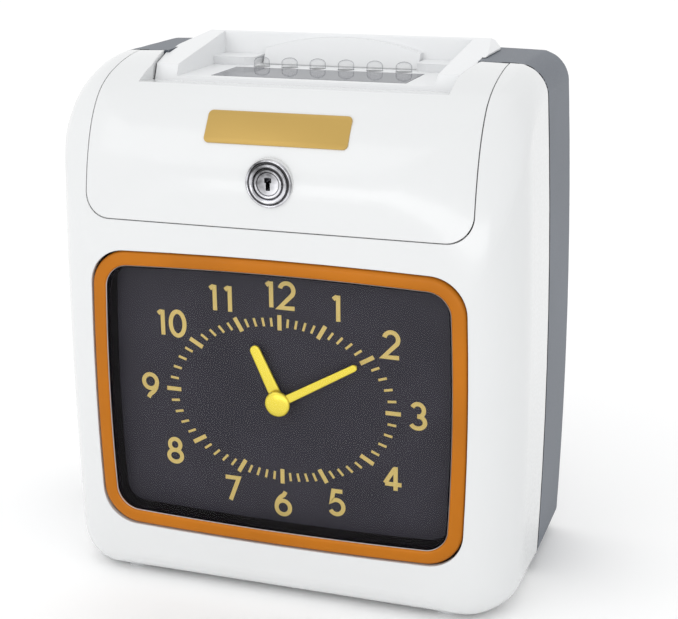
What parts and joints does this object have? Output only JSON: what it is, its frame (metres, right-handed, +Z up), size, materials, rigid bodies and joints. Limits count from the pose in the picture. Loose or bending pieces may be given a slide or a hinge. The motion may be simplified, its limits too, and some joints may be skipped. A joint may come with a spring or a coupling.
{
  "type": "punch time clock",
  "caption": "Desktop punch time clock with an analogue dial, keyed lift-up cover, card slot, display window and clear push buttons over a rounded two-part case.",
  "frame": {"origin": "on the table, under the middle of the bounding box", "axes": "+Z up, front face towards -Y, +X to the right seen from the front"},
  "size_m": [0.2488, 0.1344, 0.2802],
  "materials": {
    "white_shell": "smooth gloss white ABS",
    "grey_shell": "fine-textured metallic grey",
    "guide_white": "satin white",
    "bezel_bronze": "satin copper bronze lacquer",
    "clear_pane": "polished clear acrylic",
    "smoked_window": "polished smoked acrylic",
    "clear_button": "polished clear plastic",
    "dial_black": "satin charcoal",
    "liner_black": "matt black",
    "hand_gold": "polished yellow gold",
    "chrome": "polished",
    "zinc_steel": "zinc plated",
    "brass_gear": "machined",
    "white_gear": "natural acetal",
    "black_plastic": "moulded black",
    "rubber_black": "matt",
    "foot_rubber": "matt pale grey",
    "dial_print": "satin gold print",
    "plaque_gold": "satin gold plate",
    "board_green": "solder mask",
    "lamination": "varnished laminations",
    "battery_blue": "shrink sleeve",
    "cast_grey": "cast"
  },
  "bodies": {
    "case": {"front_body": "white_shell", "latch_sill": "white_shell", "rear_case": "grey_shell", "card_guide": "guide_white", "display_window": "smoked_window", "display_module": "black_plastic", "button_board": "board_green", "bezel": "bezel_bronze", "clock_pane": "clear_pane", "dial_liner": "liner_black", "dial": "dial_black", "movement_plate": "white_gear", "movement_motor": "cast_grey", "chassis_base": "zinc_steel", "chassis_sides": "zinc_steel", "chassis_front": "zinc_steel", "chute_front": "zinc_steel", "chute_rear": "zinc_steel", "platen": "rubber_black", "feed_motor": "cast_grey", "guide_rods": "chrome", "carriage_belt": "rubber_black", "carriage_motor": "cast_grey", "idler_post": "zinc_steel", "ribbon_cartridge": "black_plastic", "main_board": "board_green", "transformer": "lamination", "backup_battery": "battery_blue", "power_inlet": "black_plastic", "feet": "foot_rubber", "case_screws": "zinc_steel"},
    "cover": {"top_cover": "white_shell", "lock_barrel": "chrome", "lock_nut": "zinc_steel", "hinge_hooks": "zinc_steel"},
    "lock": {"lock_plug": "chrome", "lock_cam": "zinc_steel"},
    "minute": {"cannon_pinion": "brass_gear", "minute_hand": "hand_gold", "hand_cap": "hand_gold"},
    "hour": {"hour_wheel": "white_gear", "hour_hand": "hand_gold"},
    "layshaft": {"minute_wheel": "white_gear"},
    "movement_drive": {"motor_pinion": "brass_gear"},
    "carriage": {"print_carriage": "black_plastic", "print_head": "cast_grey"},
    "belt_drive": {"drive_pulley": "white_gear"},
    "belt_idler": {"idler_pulley": "white_gear"},
    "feed": {"feed_shaft": "zinc_steel", "feed_rollers": "rubber_black", "feed_gear": "white_gear"},
    "feed_drive": {"feed_motor_pinion": "brass_gear"},
    "pinch": {"pinch_rollers": "rubber_black"},
    "ribbon_wind": {"ribbon_knob": "black_plastic"},
    "button_1": {"column_button_1": "clear_button"},
    "button_2": {"column_button_2": "clear_button"},
    "button_3": {"column_button_3": "clear_button"},
    "button_4": {"column_button_4": "clear_button"},
    "button_5": {"column_button_5": "clear_button"},
    "button_6": {"column_button_6": "clear_button"}
  },
  "joints": [
    {"name": "cover_hinge", "type": "hinge", "parent": "case", "child": "cover", "pos_m": [0, 0.0072, 0.2755], "axis": [-1, 0, 0], "range_deg": [0, 60]},
    {"name": "lock_turn", "type": "hinge", "parent": "cover", "child": "lock", "pos_m": [0, -0.0548, 0.2219], "axis": [0, 1, 0], "range_deg": [0, 90]},
    {"name": "minute_turn", "type": "hinge", "parent": "case", "child": "minute", "pos_m": [0, -0.0548, 0.107], "axis": [0, 1, 0], "continuous": true},
    {"name": "hour_turn", "type": "hinge", "parent": "case", "child": "hour", "pos_m": [0, -0.0548, 0.107], "axis": [0, 1, 0], "continuous": true},
    {"name": "layshaft_turn", "type": "hinge", "parent": "case", "child": "layshaft", "pos_m": [0.0125, -0.0448, 0.107], "axis": [0, 1, 0], "continuous": true},
    {"name": "movement_drive_turn", "type": "hinge", "parent": "case", "child": "movement_drive", "pos_m": [0.025, -0.0448, 0.107], "axis": [0, 1, 0], "continuous": true},
    {"name": "carriage_slide", "type": "slide", "parent": "case", "child": "carriage", "axis": [1, 0, 0], "range_m": [-0.033, 0.033]},
    {"name": "belt_drive_turn", "type": "hinge", "parent": "case", "child": "belt_drive", "pos_m": [-0.075, -0.0088, 0.152], "axis": [0, 0, 1], "range_deg": [-300, 300]},
    {"name": "belt_idler_turn", "type": "hinge", "parent": "case", "child": "belt_idler", "pos_m": [0.075, -0.0088, 0.152], "axis": [0, 0, 1], "range_deg": [-300, 300]},
    {"name": "feed_turn", "type": "hinge", "parent": "case", "child": "feed", "pos_m": [0, 0.0328, 0.215], "axis": [1, 0, 0], "continuous": true},
    {"name": "feed_drive_turn", "type": "hinge", "parent": "case", "child": "feed_drive", "pos_m": [0.099, 0.0328, 0.1942], "axis": [1, 0, 0], "continuous": true},
    {"name": "pinch_turn", "type": "hinge", "parent": "case", "child": "pinch", "pos_m": [0, 0.0456, 0.215], "axis": [1, 0, 0], "continuous": true},
    {"name": "ribbon_turn", "type": "hinge", "parent": "case", "child": "ribbon_wind", "pos_m": [-0.048, 0.0172, 0.19], "axis": [0, 0, 1], "continuous": true},
    {"name": "button_1_press", "type": "slide", "parent": "case", "child": "button_1", "axis": [0, 0, -1], "range_m": [0, 0.0015], "stiffness_N_per_m": 300, "springref_m": -0.0005},
    {"name": "button_2_press", "type": "slide", "parent": "case", "child": "button_2", "axis": [0, 0, -1], "range_m": [0, 0.0015], "stiffness_N_per_m": 300, "springref_m": -0.0005},
    {"name": "button_3_press", "type": "slide", "parent": "case", "child": "button_3", "axis": [0, 0, -1], "range_m": [0, 0.0015], "stiffness_N_per_m": 300, "springref_m": -0.0005},
    {"name": "button_4_press", "type": "slide", "parent": "case", "child": "button_4", "axis": [0, 0, -1], "range_m": [0, 0.0015], "stiffness_N_per_m": 300, "springref_m": -0.0005},
    {"name": "button_5_press", "type": "slide", "parent": "case", "child": "button_5", "axis": [0, 0, -1], "range_m": [0, 0.0015], "stiffness_N_per_m": 300, "springref_m": -0.0005},
    {"name": "button_6_press", "type": "slide", "parent": "case", "child": "button_6", "axis": [0, 0, -1], "range_m": [0, 0.0015], "stiffness_N_per_m": 300, "springref_m": -0.0005}
  ],
  "couplings": [
    {"joint": "hour_turn", "follows": "minute_turn", "ratio": 0.083333},
    {"joint": "layshaft_turn", "follows": "minute_turn", "ratio": -0.33333},
    {"joint": "movement_drive_turn", "follows": "minute_turn", "ratio": 1},
    {"joint": "belt_drive_turn", "follows": "carriage_slide", "rad_per_m": -152.67},
    {"joint": "belt_idler_turn", "follows": "carriage_slide", "rad_per_m": -152.67},
    {"joint": "feed_drive_turn", "follows": "feed_turn", "ratio": -3.3333},
    {"joint": "pinch_turn", "follows": "feed_turn", "ratio": -0.92308}
  ]
}
